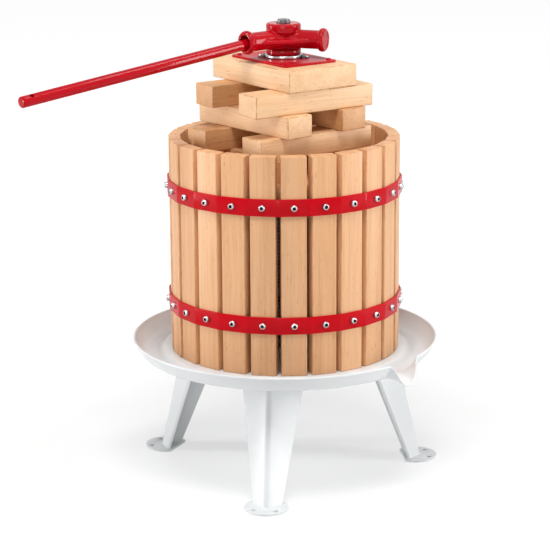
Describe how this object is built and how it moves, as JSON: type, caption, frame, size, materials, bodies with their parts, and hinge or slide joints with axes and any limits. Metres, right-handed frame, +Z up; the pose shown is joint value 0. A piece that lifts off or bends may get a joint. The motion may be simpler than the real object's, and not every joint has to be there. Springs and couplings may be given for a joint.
{
  "type": "fruit press",
  "caption": "Screw fruit press: slatted wooden basket with red hoops on a white tripod tray with a spout, a central spindle, loose press beams and a red head turned by a lever.",
  "frame": {"origin": "on the ground, midway between the two screw holes of the front foot; the spindle's axis stands at x 0.163 m, y 0.104 m", "axes": "+Z up along the spindle; the pouring spout points towards -Y; the lever points towards -X at rest"},
  "size_m": [0.5998, 0.4103, 0.6],
  "materials": {
    "beech": "satin",
    "red_paint": "gloss",
    "white_enamel": "gloss",
    "steel": "satin"
  },
  "bodies": {
    "stand": {"tray": "white_enamel", "leg_1": "white_enamel", "leg_2": "white_enamel", "leg_3": "white_enamel", "leg_studs": "steel", "leg_nuts": "steel", "spindle": "steel", "spindle_washer": "steel", "spindle_nut": "steel", "stave_01": "beech", "stave_02": "beech", "stave_03": "beech", "stave_04": "beech", "stave_05": "beech", "stave_06": "beech", "stave_07": "beech", "stave_08": "beech", "stave_09": "beech", "stave_10": "beech", "stave_11": "beech", "stave_12": "beech", "stave_13": "beech", "stave_14": "beech", "stave_15": "beech", "stave_16": "beech", "stave_17": "beech", "stave_18": "beech", "stave_19": "beech", "stave_20": "beech", "stave_21": "beech", "stave_22": "beech", "stave_23": "beech", "stave_24": "beech", "upper_hoop": "red_paint", "lower_hoop": "red_paint", "upper_hoop_screws": "steel", "lower_hoop_screws": "steel"},
    "press": {"press_plate_1": "beech", "press_plate_2": "beech", "beam_1": "beech", "beam_2": "beech", "beam_3": "beech", "beam_4": "beech", "beam_5": "beech", "beam_6": "beech", "beam_7": "beech", "beam_8": "beech", "top_block": "beech", "thrust_plate": "red_paint", "plate_screws": "steel", "thrust_ring": "steel", "ring_clips": "steel", "clip_screws": "steel"},
    "head": {"head_casting": "red_paint", "lever": "red_paint"}
  },
  "joints": [
    {"name": "press_slide", "type": "slide", "parent": "stand", "child": "press", "axis": [0, 0, 1], "range_m": [-0.1051, 0]},
    {"name": "head_turn", "type": "hinge", "parent": "press", "child": "head", "pos_m": [0.1632, 0.10397, 0.575], "axis": [0, 0, 1], "range_deg": [-7560, 0]}
  ],
  "couplings": [
    {"joint": "press_slide", "follows": "head_turn", "m_per_rad": 0.00079577}
  ]
}
